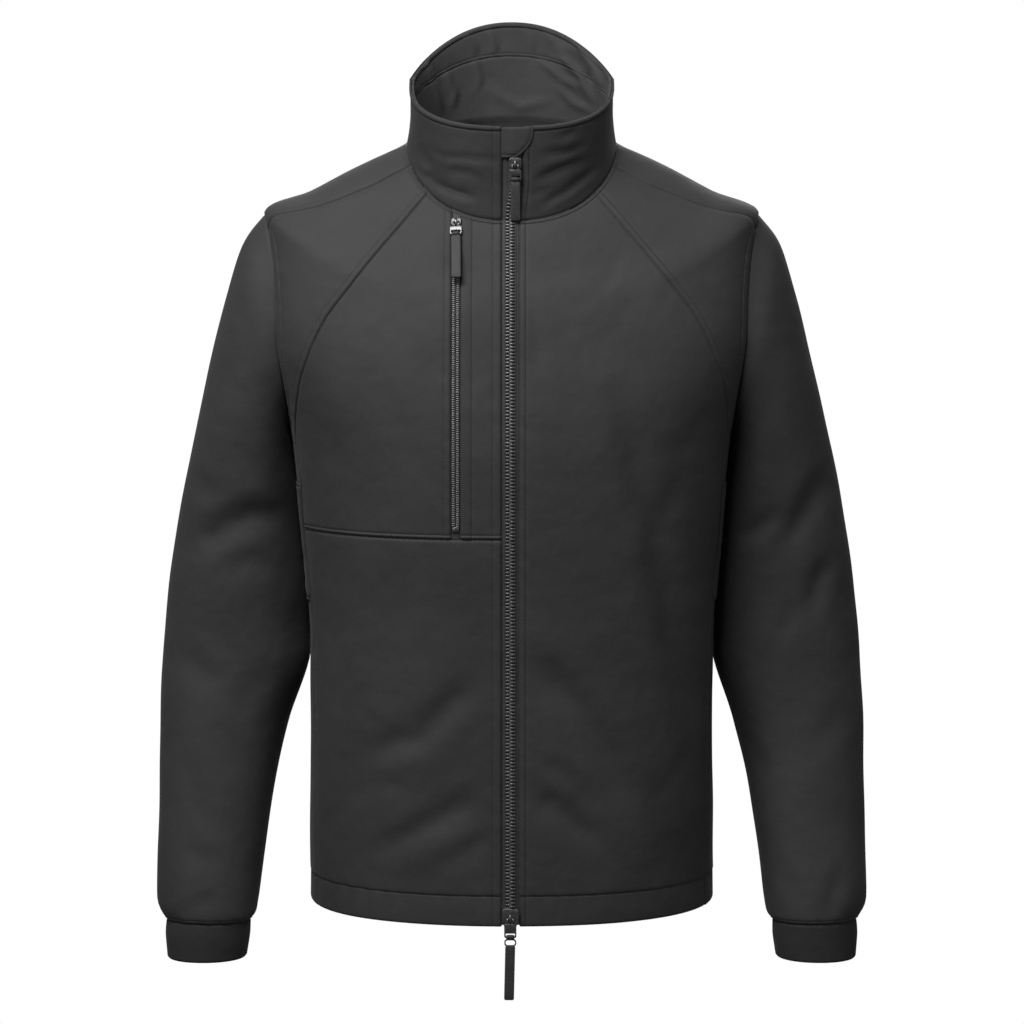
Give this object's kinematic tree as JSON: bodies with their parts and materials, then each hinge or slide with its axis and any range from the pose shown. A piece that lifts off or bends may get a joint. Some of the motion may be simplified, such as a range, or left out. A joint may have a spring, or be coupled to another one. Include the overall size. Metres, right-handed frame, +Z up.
{
  "type": "softshell jacket",
  "caption": "Zip-up softshell jacket with a stand collar, chest pocket and set-in cuffs, in its worn shape, hollow and open at neck, hem and cuffs",
  "frame": {"origin": "midway between the two points where the neck seam crosses the shoulders, at about their height", "axes": "+Z up, +Y towards the wearer's back, so the front faces -Y, and +X towards the wearer's left arm"},
  "size_m": [0.6594, 0.2731, 0.8849],
  "materials": {
    "softshell": "matt bonded stretch weave",
    "inner_cloth": "matt",
    "tape": "matt woven tape",
    "puller": "matt folded cloth",
    "teeth": "semi-gloss moulded",
    "gunmetal": "black lacquered"
  },
  "bodies": {
    "garment": {"back": "softshell", "bottom_slider": "gunmetal", "chest_right_inner": "softshell", "chest_right_outer": "softshell", "collar_facing": "inner_cloth", "collar_lining": "inner_cloth", "collar_outer": "softshell", "cuff_left": "softshell", "cuff_right": "softshell", "front_left": "softshell", "front_right_lower": "softshell", "front_zip_tape": "tape", "front_zip_teeth": "teeth", "hand_pocket_left": "softshell", "hand_pocket_right": "softshell", "pocket_slider": "gunmetal", "pocket_zip_tape": "tape", "pocket_zip_teeth": "teeth", "side_front_left": "softshell", "side_front_right": "softshell", "sleeve_left": "softshell", "sleeve_right": "softshell", "top_slider": "gunmetal", "zip_garage": "softshell"},
    "top_pull": {"top_tab": "gunmetal", "top_puller": "puller"},
    "bottom_pull": {"bottom_tab": "gunmetal", "bottom_puller": "puller"},
    "pocket_pull": {"pocket_tab": "gunmetal", "pocket_puller": "puller"}
  },
  "joints": [
    {"name": "top_tab_hinge", "type": "hinge", "parent": "garment", "child": "top_pull", "pos_m": [0.00332, -0.09269, -0.02158], "axis": [-1, -0.0075, -0.0008], "range_deg": [0, 130]},
    {"name": "pocket_tab_hinge", "type": "hinge", "parent": "garment", "child": "pocket_pull", "pos_m": [-0.0498, -0.08689, -0.07196], "axis": [-0.995, 0.0888, -0.0447], "range_deg": [0, 130]},
    {"name": "bottom_tab_hinge", "type": "hinge", "parent": "garment", "child": "bottom_pull", "pos_m": [-0.0011, -0.14868, -0.68942], "axis": [-1, 0.0013, -0.0001], "range_deg": [0, 130]}
  ]
}
